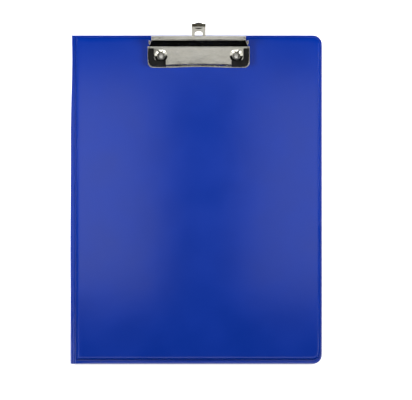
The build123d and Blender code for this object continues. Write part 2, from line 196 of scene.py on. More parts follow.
# %% Fine grain group
def make_fine_grain():
    """Pebbled grain: Size in metres; gives a height and a tone, both 0 to 1."""
    inputs = {"Size": 0.4 * mm, "Roundness": 0.5}
    group, entry, leave = new_group("fine_grain", inputs, ["Height", "Tone"])
    laid = laid_along(group, object_place(group), entry["Size"])
    pebbled = {**laid, "Smoothness": entry["Roundness"]}
    cells = add_node(group, "ShaderNodeTexVoronoi", pebbled, feature="SMOOTH_F1")
    clouds = add_node(group, "ShaderNodeTexNoise", {**laid, "Detail": 3.0}).outputs["Fac"]
    height = reckoned(group, "MULTIPLY_ADD", cells.outputs["Distance"], 0.5, clouds)
    feed(group, leave["Height"], height)
    feed(group, leave["Tone"], clouds)
    return group


fine_grain = make_fine_grain()
print("group:", fine_grain.name)

# %% Cloudy patches group
def make_cloudy_patches():
    """Large soft patches: Size in metres; the mask is about 0.5, and spreads more with Contrast."""
    inputs = {"Size": 30 * mm, "Contrast": 0.5}
    group, entry, leave = new_group("cloudy_patches", inputs, ["Mask", "Height"])
    laid = laid_along(group, object_place(group), entry["Size"])
    clouds = add_node(group, "ShaderNodeTexNoise", {**laid, "Detail": 2.0}).outputs["Fac"]
    centred = reckoned(group, "SUBTRACT", clouds, 0.5)
    spread = reckoned(group, "MULTIPLY_ADD", centred, entry["Contrast"], 0.5)
    feed(group, leave["Mask"], ranged(group, spread))
    feed(group, leave["Height"], clouds)
    return group


cloudy_patches = make_cloudy_patches()
print("group:", cloudy_patches.name)

# %% Rubbed marks group
def make_rubbed_marks():
    """Hair-fine marks along one way: Size in metres across the marks; gives a 0 to 1 mask."""
    group, entry, leave = new_group("rubbed_marks", {"Size": 1 * mm, "Amount": 0.5}, ["Mask"])
    slant = (0.0, 0.0, math.radians(8.0))
    drawn_out = {"Vector": object_place(group), "Rotation": slant, "Scale": (0.06, 1.0, 1.0)}
    stretched = add_node(group, "ShaderNodeMapping", drawn_out).outputs["Vector"]
    laid = laid_along(group, stretched, entry["Size"])
    hairs = add_node(group, "ShaderNodeTexNoise", {**laid, "Detail": 4.0}).outputs["Fac"]
    feed(group, leave["Mask"], ranged(group, hairs, start=0.55, end=0.75, high=entry["Amount"]))
    return group


rubbed_marks = make_rubbed_marks()
print("group:", rubbed_marks.name)

# %% [markdown]
# ## Finishes
# Every finish is one Principled shader. Values that are the same all over sit on its sockets, and the
# groups only drive what changes over the surface: colour, roughness and the height of a bump. The sheet
# is calendered PVC, which has a fine grain and a soft gloss. The clip is nickel-chrome plate over pressed
# steel, so its flats are not quite flat and mirror the room unevenly.

# %% Material helpers
def new_material(name, **sockets):
    """A material whose Principled shader has the given sockets set, such as Roughness=0.4."""
    material = bpy.data.materials.new(name)
    material.use_nodes = True
    shader = material.node_tree.nodes["Principled BSDF"]
    for label, value in sockets.items():
        shader.inputs[label.replace("_", " ")].default_value = value
    return material, shader


def place_group(material, group, **values):
    """The outputs of a node group placed in a material, with its inputs set."""
    return add_node(material.node_tree, "ShaderNodeGroup", values, node_tree=group).outputs


def tinted(material, shader, mask, dark, light):
    """Base colour between two colours, by a mask."""
    tree = material.node_tree
    inputs = {"Factor": mask, "A": (*dark, 1.0), "B": (*light, 1.0)}
    mix = add_node(tree, "ShaderNodeMix", inputs, data_type="RGBA")
    feed(tree, shader.inputs["Base Color"], mix.outputs["Result"])


def roughened(material, shader, mask, low, high):
    """Roughness between two values, by a mask."""
    tree = material.node_tree
    feed(tree, shader.inputs["Roughness"], ranged(tree, mask, low=low, high=high, kind="LINEAR"))


def bumped(material, shader, height, distance, strength=1.0, below=None):
    """A bump from a height, on top of another bump's normal where one is given."""
    tree = material.node_tree
    inputs = {"Height": height, "Distance": distance, "Strength": strength}
    if below is not None:
        inputs["Normal"] = below
    normal = add_node(tree, "ShaderNodeBump", inputs).outputs["Normal"]
    feed(tree, shader.inputs["Normal"], normal)
    return normal


# %% Blue PVC sheet
deep_blue = (0.0, 0.0255, 0.29)
pale_blue = (0.001, 0.033, 0.36)
sheet_swell = 0.25 * mm


def make_pvc(name, grain, depth, gloss):
    """Royal blue sheet with a fine grain of a given size and depth, and a roughness range."""
    material, shader = new_material(name, Specular_IOR_Level=0.5, IOR=1.5)
    tree = material.node_tree
    patches = place_group(material, cloudy_patches, Size=35 * mm, Contrast=1.6)
    texture = place_group(material, fine_grain, Size=grain, Roundness=0.7)
    half = reckoned(tree, "MULTIPLY", patches["Mask"], 0.5)
    both = reckoned(tree, "MULTIPLY_ADD", texture["Tone"], 0.5, half)
    tinted(material, shader, both, deep_blue, pale_blue)
    roughened(material, shader, patches["Mask"], *gloss)
    swell = bumped(material, shader, patches["Height"], sheet_swell, strength=0.5)
    bumped(material, shader, texture["Height"], depth, strength=0.6, below=swell)
    return material


pvc_liner = make_pvc("pvc_liner", grain=0.55 * mm, depth=0.004 * mm, gloss=(0.165, 0.205))
pvc_outer = make_pvc("pvc_outer", grain=0.80 * mm, depth=0.03 * mm, gloss=(0.28, 0.36))
print("sheet finishes:", pvc_liner.name, pvc_outer.name)

# %% Plated and plain metals
rub_depth = 0.002 * mm


def make_metal(name, dark, light, gloss, wave_size, wave_depth, mark_size, plating=1.0):
    """Metal between two tones, with uneven gloss, slow waves in its flats and rubbed marks."""
    material, shader = new_material(name, Metallic=plating)
    patches = place_group(material, cloudy_patches, Size=wave_size, Contrast=2.2)
    hairs = place_group(material, rubbed_marks, Size=mark_size, Amount=0.6)
    tinted(material, shader, patches["Mask"], dark, light)
    duller = reckoned(material.node_tree, "MAXIMUM", patches["Mask"], hairs["Mask"])
    roughened(material, shader, duller, *gloss)
    waves = bumped(material, shader, patches["Height"], wave_depth)
    bumped(material, shader, hairs["Mask"], rub_depth, strength=0.5, below=waves)
    return material


chrome = make_metal(
    "chromed_steel", dark=(0.53, 0.515, 0.45), light=(0.68, 0.665, 0.60), gloss=(0.07, 0.16),
    wave_size=12 * mm, wave_depth=0.10 * mm, mark_size=0.9 * mm,
)
rivet_steel = make_metal(
    "rivet_steel", dark=(0.74, 0.73, 0.68), light=(0.84, 0.83, 0.78), gloss=(0.30, 0.42),
    wave_size=4 * mm, wave_depth=0.02 * mm, mark_size=0.5 * mm, plating=0.55,
)
spring_steel = make_metal(
    "spring_steel", dark=(0.34, 0.34, 0.35), light=(0.46, 0.46, 0.47), gloss=(0.22, 0.36),
    wave_size=2 * mm, wave_depth=0.01 * mm, mark_size=0.3 * mm,
)
print("metal finishes:", chrome.name, rivet_steel.name, spring_steel.name)

# %% Rubber and greyboard
def make_rubber():
    """Black moulded rubber: satin, with faint dust in its grain."""
    material, shader = new_material("black_rubber", Specular_IOR_Level=0.25)
    texture = place_group(material, fine_grain, Size=0.35 * mm, Roundness=0.6)
    patches = place_group(material, cloudy_patches, Size=6 * mm, Contrast=1.8)
    tinted(material, shader, patches["Mask"], (0.003, 0.003, 0.003), (0.012, 0.012, 0.012))
    roughened(material, shader, patches["Mask"], 0.38, 0.50)
    bumped(material, shader, texture["Height"], 0.02 * mm, strength=0.6)
    return material


def make_greyboard():
    """Raw greyboard: recycled fibres, dull, with flecks."""
    material, shader = new_material("greyboard", Specular_IOR_Level=0.2)
    texture = place_group(material, fine_grain, Size=1.2 * mm, Roundness=0.3)
    tinted(material, shader, texture["Tone"], (0.20, 0.18, 0.15), (0.42, 0.38, 0.33))
    roughened(material, shader, texture["Tone"], 0.80, 0.95)
    bumped(material, shader, texture["Height"], 0.05 * mm, strength=0.8)
    return material


black_rubber = make_rubber()
greyboard = make_greyboard()
print("other finishes:", black_rubber.name, greyboard.name)

# %% [markdown]
# ## The finishes on the CAD nodes
# The cores, the base plate, the axle and the rivets have the right shape already. Modelling them again
# could only spoil their fit, so just their material slots are filled. A piece that is made here stands
# for a node or two of the CAD model, and the panels, pocket, jaw, hook and grips ride those nodes' body.

# %% Fill the CAD nodes' slots
finishes = {
    "pvc_liner": pvc_liner,
    "pvc_outer": pvc_outer,
    "greyboard": greyboard,
    "chromed_steel": chrome,
    "rivet_steel": rivet_steel,
    "spring_steel": spring_steel,
    "black_rubber": black_rubber,
}
for entry in frame["record"]["subparts"]:
    mesh = frame["nodes"][entry["node"]].data
    mesh.materials.clear()
    mesh.materials.append(finishes[entry["material_slot"]])


# %% Add a piece
def add_piece(piece, slot, body=None, stands_for=()):
    """Gives a new piece its finish, its body where one is given, and hides the CAD nodes that it stands
    for.
    """
    piece.data.materials.append(finishes[slot])
    if stands_for:
        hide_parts(*stands_for)
    if body is not None:
        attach(piece, body)
    return piece


# %% [markdown]
# ## The welded panels
# Board and cover are the same: a liner sheet is laid over a greyboard core and welded round the rim to a
# flat outer sheet. The weld leaves a bead along the edge and a groove at the foot of the slope, and the
# sheet rounds over the edge of the board. A sculpted or displaced plane would be heavy, so the liner is a
# loft of outlines that run from the rim up to the face. Each is a rectangle, square at the spine and
# rounded away from it.

# %% Stages from the panel's edge to its middle
liner_low, liner_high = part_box("board_liner")
skin_low, skin_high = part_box("board_back_skin")
sheet = skin_high.z - skin_low.z
rim_left = 0.5 * mm
rim_right = 1.5 * mm
rim_top = 1.5 * mm
rim_bottom = 3.8 * mm
slope_run = 2.4 * mm
to_middle = 100 * mm
panel_corner = 8.8 * mm
spine_corner = 0.3 * mm

panel_edge = (liner_low.x, liner_low.y, liner_high.x, liner_high.y, spine_corner, panel_corner)


def drawn_in(edge, left, bottom, right, top, corner):
    """An outline moved in by a run on each side, with its outer corners that much tighter."""
    x0, y0, x1, y1, spine_radius, outer_radius = edge
    return (x0 + left, y0 + bottom, x1 - right, y1 - top, spine_radius, outer_radius - corner)


slope_foot = drawn_in(panel_edge, rim_left, rim_bottom, rim_right, rim_top, rim_right)
slope_head = drawn_in(slope_foot, slope_run, slope_run, slope_run, slope_run, slope_run)
face_middle = drawn_in(slope_head, to_middle, to_middle, to_middle, to_middle, 0)
outline_stages = (panel_edge, slope_foot, slope_head, face_middle)


def staged_outline(stage):
    """The outline at a stage: 0 the edge, 1 the slope's foot, 2 its head, 3 the face's middle."""
    index = min(int(stage), len(outline_stages) - 2)
    share = stage - index
    pairs = zip(outline_stages[index], outline_stages[index + 1])
    return tuple(mixed(outer, inner, share) for outer, inner in pairs)


print("sheet:", round(sheet / mm, 2), "mm, face from", [round(v / mm, 1) for v in slope_head[:2]])

# %% Points round an outline
corner_steps = 10
side_steps = 24
spine_reach = 1.0 * mm


def arc(centre_x, centre_y, radius, start, end, steps):
    """Points along a circle between two angles in degrees."""
    points = []
    for step in range(steps + 1):
        turn = math.radians(mixed(start, end, step / steps))
        points.append((centre_x + radius * math.cos(turn), centre_y + radius * math.sin(turn)))
    return points


def outline_points(edge):
    """Points round a rectangle with small corners at the spine: (x, y, nearness to the spine)."""
    x0, y0, x1, y1, small, large = edge
    corners = [
        arc(x0 + small, y0 + small, small, 180, 270, corner_steps),
        arc(x1 - large, y0 + large, large, 270, 360, corner_steps),
        arc(x1 - large, y1 - large, large, 0, 90, corner_steps),
        arc(x0 + small, y1 - small, small, 90, 180, corner_steps),
    ]
    points = []
    for corner, following in zip(corners, corners[1:] + corners[:1]):
        points += corner
        start, end = corner[-1], following[0]
        for step in range(1, side_steps):
            share = step / side_steps
            points.append((mixed(start[0], end[0], share), mixed(start[1], end[1], share)))
    return [(x, y, 1.0 - eased((x - x0) / spine_reach)) for x, y in points]


print("panel points per outline:", len(outline_points(panel_edge)))

# %% Sheet over a row of stages
bead_stages = 0.7
panel_smooth = 60.0


def welded_sheet(name, inside, outside, joint_z, side):
    """A sheet lofted from its inside to its outside; side 1 faces up from the joint, -1 down.

    Both rows hold a stage and a height above the joint with the panel's other sheet. Towards the
    spine the bead on the outside gives way to the plain thickness of the sheet.
    """
    outlines = []
    for index, (stage, height) in enumerate(inside + outside):
        on_bead = index >= len(inside) and stage < bead_stages
        ring = []
        for x, y, near_spine in outline_points(staged_outline(stage)):
            rise = mixed(height, sheet, near_spine) if on_bead else height
            ring.append(Vector((x, y, joint_z + side * rise)))
        outlines.append(ring)
    return loft(name, outlines, panel_smooth)


# %% Liner sheets
liner_height = liner_high.z - liner_low.z

# From the middle of the underside out to the edge
liner_inside = [
    (2.90, liner_height - sheet),
    (2.02, liner_height - sheet),
    (1.75, liner_height - 1.6 * sheet),
    (1.35, 0.90 * mm),
    (1.12, 0.0),
    (0.60, 0.0),
    (0.00, 0.0),
]
# Up over the bead, through the groove, up the slope and across the face
liner_outside = [
    (0.00, 0.04 * mm),
    (0.06, 0.11 * mm),
    (0.20, 0.18 * mm),
    (0.38, 0.24 * mm),
    (0.56, 0.30 * mm),
    (0.74, sheet),
    (0.88, 0.31 * mm),
    (0.97, 0.16 * mm),
    (1.03, 0.24 * mm),
    (1.06, 0.75 * mm),
    (1.09, 1.15 * mm),
    (1.13, 1.38 * mm),
    (1.22, 1.52 * mm),
    (1.36, 1.71 * mm),
    (1.50, 1.88 * mm),
    (1.64, 2.03 * mm),
    (1.76, 2.16 * mm),
    (1.86, 2.26 * mm),
    (1.94, 2.32 * mm),
    (2.00, liner_height),
    (2.03, liner_height),
    (2.25, liner_height),
    (2.60, liner_height),
    (2.90, liner_height),
]
cover_joint_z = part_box("cover_liner")[1].z
board_sheet = welded_sheet("board_liner_sheet", liner_inside, liner_outside, liner_low.z, 1)
cover_sheet = welded_sheet("cover_liner_sheet", liner_inside, liner_outside, cover_joint_z, -1)
add_piece(board_sheet, "pvc_liner", "board", ["board_liner"])
add_piece(cover_sheet, "pvc_liner", "cover", ["cover_liner"])
print("liner faces:", len(board_sheet.data.polygons), len(cover_sheet.data.polygons))

# %% [markdown]
# ## The outer skin
# On the other side of each panel the outer sheet is flat, with the weld's imprint all round. A plane with
# a bevel would do for the sheet, but not for the imprint, so it is the same loft with fewer stages.

# %% Outer skins
skin_inside = [
    (2.90, 0.0),
    (1.00, 0.0),
    (0.00, 0.0),
]
skin_outside = [
    (0.00, 0.16 * mm),
    (0.06, 0.28 * mm),
    (0.22, sheet),
    (0.80, sheet),
    (0.95, 0.24 * mm),
    (1.02, 0.24 * mm),
    (1.12, sheet),
    (1.60, sheet),
    (2.90, sheet),
]
cover_skin_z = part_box("cover_outer_skin")[0].z
board_skin = welded_sheet("board_skin_sheet", skin_inside, skin_outside, skin_high.z, -1)
cover_skin = welded_sheet("cover_skin_sheet", skin_inside, skin_outside, cover_skin_z, 1)
add_piece(board_skin, "pvc_outer", "board", ["board_back_skin"])
add_piece(cover_skin, "pvc_outer", "cover", ["cover_outer_skin"])
print("outer skins from", round(skin_high.z / mm, 2), "and", round(cover_skin_z / mm, 2), "mm")

# %% [markdown]
# ## The folded spine
# The spine is the same two sheets without a core, looped round the left edge. It has three creases, and
# the loop has been bent by hand so often that its outer edge is no longer straight. Each sheet is a strip
# with a side section that runs along the edge. It could be one strip, but here it is cut where it lies
# flat into a part for each crease.

# %% Wear of the spine
upper_low, upper_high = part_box("spine_upper_liner")
hinge_x = upper_high.x
loop_x = upper_low.x
fold_z = upper_low.z
liner_radius = upper_high.z - fold_z
worn_all_over = 0.42 * mm
worn_by_clip = 1.6 * mm
worn_centre = 133 * mm
worn_spread = 48 * mm
# Slow ripples of the loop's edge: depth, length for one radian, and start in radians
ripples = [
    (0.12 * mm, 21 * mm, 0),
    (0.10 * mm, 37 * mm, 1),
]
# Ridges and dips that the weld and the bending have left in the sheets: place, height and width
strip_marks = [
    (hinge_x - 0.50 * mm, 0.22 * mm, 0.36 * mm),
    (hinge_x - 1.50 * mm, -0.20 * mm, 0.40 * mm),
    (hinge_x - 3.10 * mm, 0.20 * mm, 0.80 * mm),
]


def bell(away, width):
    """1 at the middle, falling away to 0 on both sides."""
    return math.exp(-((away / width) ** 2))


def strip_lift(x):
    """How far the sheets stand up from flat at a place across the spine."""
    return sum(height * bell(x - place, width) for place, height, width in strip_marks)


def loop_inset(y):
    """How far the loop's outer edge has drawn in at a place along the spine."""
    rippled = sum(depth * math.sin(y / length + start) for depth, length, start in ripples)
    return worn_all_over + worn_by_clip * bell(y - worn_centre, worn_spread) + rippled


insets = [loop_inset(y * mm) / mm for y in range(-160, 161)]
print("loop inset from", round(min(insets), 2), "to", round(max(insets), 2), "mm")

# %% Side sections of the spine's sheets
strip_cut_x = hinge_x - 2.2 * mm
flat_steps = 20
fold_steps = 20
run_in_steps = 5


def flat_section(side, radius):
    """The flat part of a sheet between the panel and the cut, the same all along."""
    across = [mixed(hinge_x, strip_cut_x, step / flat_steps) for step in range(flat_steps + 1)]
    outer = [(x, fold_z + side * (radius + strip_lift(x))) for x in across]
    inner = [(x, fold_z + side * (radius + strip_lift(x) - sheet)) for x in reversed(across)]
    return lambda y: outer + inner


def loop_line(reach, centre_x):
    """One face of the loop, from the cut above, round the fold, to the cut below."""
    above = []
    for step in range(run_in_steps):
        x = mixed(strip_cut_x, centre_x, step / run_in_steps)
        above.append((x, reach + strip_lift(x)))
    for step in range(fold_steps // 2 + 1):
        turn = math.pi * step / fold_steps
        x = centre_x - reach * math.sin(turn)
        above.append((x, (reach + strip_lift(x)) * math.cos(turn)))
    upper = [(x, fold_z + rise) for x, rise in above]
    lower = [(x, fold_z - rise) for x, rise in reversed(above[:-1])]
    return upper + lower


def loop_section(radius):
    """The loop's outer and inner face, drawn in where the spine is worn."""
    def section(y):
        centre_x = loop_x + liner_radius + loop_inset(y)
        inner = loop_line(radius - sheet, centre_x)
        return loop_line(radius, centre_x) + list(reversed(inner))
    return section


print("points round the loop:", len(loop_section(liner_radius)(0)))

# %% Strips of the spine
strip_rows = 96


def strip(name, section):
    """A strip along Y from a function that gives its closed side section at each Y."""
    outlines = []
    for row in range(strip_rows + 1):
        y = mixed(liner_low.y, liner_high.y, row / strip_rows)
        outlines.append([Vector((x, y, z)) for x, z in section(y)])
    return loft(name, outlines)


def add_spine_sheet(layer, radius, slot, nodes):
    """One sheet of the spine as three strips: by the board, round the loop and by the cover."""
    upper = strip(f"spine_{layer}_by_board", flat_section(1, radius))
    loop = strip(f"spine_{layer}_loop", loop_section(radius))
    lower = strip(f"spine_{layer}_by_cover", flat_section(-1, radius))
    add_piece(upper, slot, stands_for=nodes[:1])
    add_piece(loop, slot, stands_for=nodes)
    add_piece(lower, slot, stands_for=nodes[1:])
    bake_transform(upper)
    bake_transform(loop)
    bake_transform(lower)


add_spine_sheet("liner", liner_radius, "pvc_liner", ["spine_upper_liner", "spine_lower_liner"])
add_spine_sheet("skin", liner_radius - sheet, "pvc_outer", ["spine_upper_skin", "spine_lower_skin"])
print("spine's radius:", round(liner_radius / mm, 2), "mm")

# %% [markdown]
# ## The document pocket
# Inside the cover a plain sheet is welded down on three sides and left open towards the clip, with a
# round notch for the thumb. Its outline isn't a rectangle, so here each inner outline is the outer one
# moved in along its own corners, which is a polygon offset. The weld shows as a groove along the three
# closed sides. A boolean cut for the notch would leave long thin faces round it.

# %% Outline of the pocket
pocket_low, pocket_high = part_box("cover_pocket")
notch_radius = 16 * mm
notch_steps = 28
pocket_corner = 4 * mm
pocket_corner_steps = 8
least_square = 0.5


def pocket_outline():
    """Points round the pocket, counter-clockwise from its lower left, with the notch at its rear."""
    left, right = pocket_low.x + pocket_corner, pocket_high.x - pocket_corner
    front, rear = pocket_low.y + pocket_corner, pocket_high.y - pocket_corner
    middle = (pocket_low.x + pocket_high.x) / 2
    arcs = [
        arc(left, front, pocket_corner, 180, 270, pocket_corner_steps),
        arc(right, front, pocket_corner, 270, 360, pocket_corner_steps),
        arc(right, rear, pocket_corner, 0, 90, pocket_corner_steps),
        arc(middle, pocket_high.y, notch_radius, 0, -180, notch_steps),
        arc(left, rear, pocket_corner, 90, 180, pocket_corner_steps),
    ]
    return [Vector((*point, 0)) for points in arcs for point in points]


def moved_in(points, run):
    """A counter-clockwise outline moved in by a run, each corner along its own bisector."""
    moved = []
    for before, here, after in zip(points[-1:] + points[:-1], points, points[1:] + points[:1]):
        first = (here - before).normalized()
        second = (after - here).normalized()
        normal = Vector((-first.y - second.y, first.x + second.x, 0)).normalized()
        square = max(normal.dot(Vector((-second.y, second.x, 0))), least_square)
        moved.append(here + normal * (run / square))
    return moved


print("points round the pocket:", len(pocket_outline()))

# %% Pocket sheet
weld_in = 1.8 * mm
weld_half = 0.5 * mm
weld_floor_half = 0.15 * mm
weld_depth = 0.12 * mm
pocket_face = 4.0 * mm
edge_run = 0.12 * mm
edge_rise = 0.10 * mm
open_from = pocket_high.y - 8 * mm


def pocket_sheet():
    """The pocket from its upper face round its edge to its lower face, with the weld's groove."""
    edge = pocket_outline()
    thickness = pocket_high.z - pocket_low.z
    # How far in from the outline, height above the lower face, and share of the groove's depth
    stages = [
        (pocket_face, thickness, 0.0),
        (0.0, thickness, 0.0),
        (0.0, edge_rise, 0.0),
        (edge_run, 0.0, 0.0),
        (weld_in - weld_half, 0.0, 0.0),
        (weld_in - weld_floor_half, 0.0, 1.0),
        (weld_in + weld_floor_half, 0.0, 1.0),
        (weld_in + weld_half, 0.0, 0.0),
        (pocket_face, 0.0, 0.0),
    ]
    outlines = []
    for run, height, weld in stages:
        ring = []
        for point in moved_in(edge, run):
            groove = weld * weld_depth if point.y < open_from else 0.0
            ring.append(Vector((point.x, point.y, pocket_low.z + height + groove)))
        outlines.append(ring)
    return loft("pocket_sheet", outlines)


add_piece(pocket_sheet(), "pvc_liner", "cover", ["cover_pocket"])
print("pocket", [round((high - low) / mm, 1) for low, high in zip(pocket_low, pocket_high)], "mm")

# %% [markdown]
# ## The pressed jaw and hook
# Both are pressed from sheet. The press leaves a tight bend and a narrow foot at the jaw's front, with a
# slight bow along that long edge, a flatter riser behind, and a sloping dent in the hook. Each is a small
# change to the CAD piece, which has the dishes, ears and windows already. So a copy of its mesh is cut
# across where it has to curve, and its points are moved. A new subdivision cage would take longer and
# lose the true bends.

# %% Copy, cut and move
merge_distance = 0.001 * mm
flat_enough = 0.9999
pressed_smooth = 30.0


def pressed_copy(name, node, cuts_x, moved):
    """A copy of a CAD node's mesh, cut across at some x, with each point moved by a function."""
    bm = bmesh.new()
    bm.from_mesh(frame["nodes"][node].data)
    bmesh.ops.remove_doubles(bm, verts=bm.verts, dist=merge_distance)
    for x in cuts_x:
        parts = bm.verts[:] + bm.edges[:] + bm.faces[:]
        cut = {"plane_co": (x, 0, 0), "plane_no": (1, 0, 0)}
        bmesh.ops.bisect_plane(bm, geom=parts, dist=merge_distance, **cut)
    for vertex in bm.verts:
        vertex.co = moved(vertex.co)
    bm.normal_update()
    for edge in bm.edges:
        flat_sides = [face.normal.z > flat_enough for face in edge.link_faces]
        edge.smooth = all(flat_sides) or not any(flat_sides)
    return evenly_shaded(piece_from_bmesh(name, bm, pressed_smooth))


def evenly_shaded(piece):
    """The piece with normals weighted by its large faces, without those carried from the CAD mesh."""
    carried = piece.data.attributes.get("custom_normal")
    if carried is not None:
        piece.data.attributes.remove(carried)
    even = piece.modifiers.new("even_normals", "WEIGHTED_NORMAL")
    even.keep_sharp = True
    even.weight = 80
    return piece


# %% Front of the jaw
jaw_low, jaw_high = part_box("clip_jaw")
grip_low, grip_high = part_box("grip_right")
plate_z = grip_high.z - 0.3 * mm
foot_z = jaw_low.z + 1.9 * mm
foot_run = 1.8 * mm
wall_y = jaw_low.y + 2.5 * mm
bend_run = 1.2 * mm
bend_slack = 0.05 * mm
bend_lean = 0.4
bend_tightness = 0.75
free_half = grip_low.x + 1.0 * mm
bow = 0.75 * mm
wall_forward = 1.05 * mm
base_forward = 1.40 * mm
foot_forward = 0.35 * mm
front_fade = 2.2 * mm


def front_shift(x, y, z):
    """How far a point at the jaw's front moves along y."""
    from_edge = clamped((y - jaw_low.y) / foot_run)
    if abs(x) > free_half:
        return -foot_forward * (1.0 - from_edge)
    forward = mixed(foot_forward, base_forward, from_edge) if z < foot_z else wall_forward
    bowed = bow * (1.0 - (x / free_half) ** 2) ** 2
    return (bowed - forward) * (1.0 - eased((y - wall_y - bend_run) / front_fade))


def on_front_bend(x, y, z):
    """Whether a point lies on the bend between the plate and the wall at its front."""
    if abs(x) >= free_half or not wall_y - bend_slack <= y <= wall_y + bend_run + bend_slack:
        return False
    above_wall = z > plate_z - bend_run - bend_slack
    return above_wall and z > plate_z - bend_run + (y - wall_y) * bend_lean


print("jaw's free front:", round(2 * free_half / mm, 1), "mm wide")

# %% Rear of the jaw
crease_forward = 1.10 * mm
lever_back = 1.10 * mm
rear_start = jaw_high.y - 13.0 * mm
rear_start_fade = 3.5 * mm
rear_end = jaw_high.y - 3.2 * mm
rear_end_fade = 3.0 * mm
ear_top = plate_z - 1.8 * mm
ear_fade = 0.8 * mm


def rear_shift(y, z):
    """How far a point of the crease, riser or lever moves along y."""
    up = clamped((z - plate_z) / (jaw_high.z - plate_z))
    from_plate = eased((y - rear_start) / rear_start_fade)
    to_rear = 1.0 - eased((y - rear_end) / rear_end_fade)
    above_ears = eased((z - ear_top) / ear_fade)
    return mixed(-crease_forward, lever_back, up) * from_plate * to_rear * above_ears


def moved_jaw(point):
    x, y, z = point
    if y > rear_start:
        return Vector((x, y + rear_shift(y, z), z))
    shift = front_shift(x, y, z)
    if on_front_bend(x, y, z):
        y = wall_y + (y - wall_y) * bend_tightness
        z = plate_z - (plate_z - z) * bend_tightness
    return Vector((x, y + shift, z))


print("crease and lever", round((crease_forward + lever_back) / mm, 1), "mm further apart")

# %% Pressed jaw
cut_half = free_half - 3.4 * mm
cut_count = 12
jaw_cuts = [mixed(-cut_half, cut_half, cut / cut_count) for cut in range(cut_count + 1)]
jaw = pressed_copy("jaw_pressed", "clip_jaw", jaw_cuts, moved_jaw)
add_piece(jaw, "chromed_steel", "jaw", ["clip_jaw"])
print("jaw faces:", len(jaw.data.polygons))

# %% Hook with its sloping dent
hook_low, hook_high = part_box("hanging_hook")
strip_top = hook_low.z + 0.8 * mm
dent_floor = strip_top - 0.3 * mm
dent_front = hook_high.y - 6.9 * mm
dent_rear = hook_high.y - 5.4 * mm
dent_start = 0.03 * mm
dent_fall = 0.5 * mm
dent_slack = 0.02 * mm
window_start = hook_high.y - 13.5 * mm
window_start_fade = 3.0 * mm
window_end = dent_front - 0.3 * mm
window_forward = 1.2 * mm
bend_forward = 0.35 * mm
bend_end = hook_high.y - 3.78 * mm
bend_end_fade = 1.4 * mm
tab_sides = hook_high.y - 2.33 * mm
tab_half = 4.2 * mm
tip_forward = 0.9 * mm
tip_flattening = 0.5


def moved_hook(point):
    x, y, z = point
    in_dent = dent_front - dent_slack <= y <= dent_rear + dent_slack
    if in_dent and abs(z - dent_floor) < dent_slack:
        z = strip_top - dent_start - dent_fall * (y - dent_front) / (dent_rear - dent_front)
    if y < window_end:
        forward = window_forward * eased((y - window_start) / window_start_fade)
    elif y < tab_sides:
        forward = bend_forward * (1.0 - eased((y - bend_end) / bend_end_fade))
    else:
        forward = tip_forward * (y - tab_sides) / (hook_high.y - tab_sides)
        if abs(x) < tab_half:
            z -= tip_flattening * (y - tab_sides)
    return Vector((x, y - forward, z))


hook = pressed_copy("hook_pressed", "hanging_hook", [], moved_hook)
add_piece(hook, "chromed_steel", "hook", ["hanging_hook"])
print("hook faces:", len(hook.data.polygons))

# %% [markdown]
# ## The rubber grips
# Two L-shaped rubber grips fill the front corners of the jaw. Rubber that comes out of a mould has round
# edges, and those catch the light. The CAD grip has a plain chamfer. A bevel modifier would round its
# hidden tabs too, so the grip's cap is a loft over the same plan with a rounded edge.

# %% Plan of a grip
tab_reach = 0.85 * mm
cap_forward = 0.5 * mm
rear_leg_width = 5.1 * mm
front_leg_depth = 4.7 * mm
end_radius = 0.6 * mm
outer_radius = 4.0 * mm
inner_radius = 3.0 * mm
grip_corner_steps = 8


def l_outline(inset):
    """The L's plan moved in by an inset, counter-clockwise, with rounded corners."""
    inner = grip_low.x + tab_reach + inset
    outer = grip_high.x - inset
    front = grip_low.y - cap_forward + inset
    rear = grip_high.y - tab_reach - inset
    leg_x = grip_high.x - rear_leg_width + inset
    leg_rear = grip_low.y + front_leg_depth - inset
    corners = [
        (Vector((inner, front)), end_radius),
        (Vector((outer, front)), outer_radius - inset),
        (Vector((outer, rear)), end_radius),
        (Vector((leg_x, rear)), end_radius),
        (Vector((leg_x, leg_rear)), inner_radius + inset),
        (Vector((inner, leg_rear)), end_radius),
    ]
    points = []
    for index, (corner, radius) in enumerate(corners):
        before = (corners[index - 1][0] - corner).normalized()
        after = (corners[(index + 1) % len(corners)][0] - corner).normalized()
        centre = corner + (before + after) * radius
        for step in range(grip_corner_steps + 1):
            turn = math.pi / 2 * step / grip_corner_steps
            away = -after * radius * math.cos(turn) - before * radius * math.sin(turn)
            points.append(centre + away)
    return points


print("points round a grip:", len(l_outline(0.0)))

# %% Grip caps
cap_height = 2.7 * mm
cap_rounding = 0.45 * mm
cap_steps = 6


def grip_cap(name, side):
    """The cap of one grip, straight up from the plate and rounded over at its top."""
    stages = [(0.0, grip_high.z - cap_height)]
    for step in range(cap_steps + 1):
        turn = math.pi / 2 * step / cap_steps
        inset = cap_rounding * (1 - math.cos(turn))
        stages.append((inset, grip_high.z - cap_rounding * (1 - math.sin(turn))))
    outlines = []
    for inset, z in stages:
        outlines.append([Vector((side * point.x, point.y, z)) for point in l_outline(inset)])
    return loft(name, outlines)


for label, side in (("left", -1), ("right", 1)):
    add_piece(grip_cap(f"grip_cap_{label}", side), "black_rubber", "jaw", [f"grip_{label}"])
print("grip's low corner:", [round(v / mm, 2) for v in grip_low], "mm")
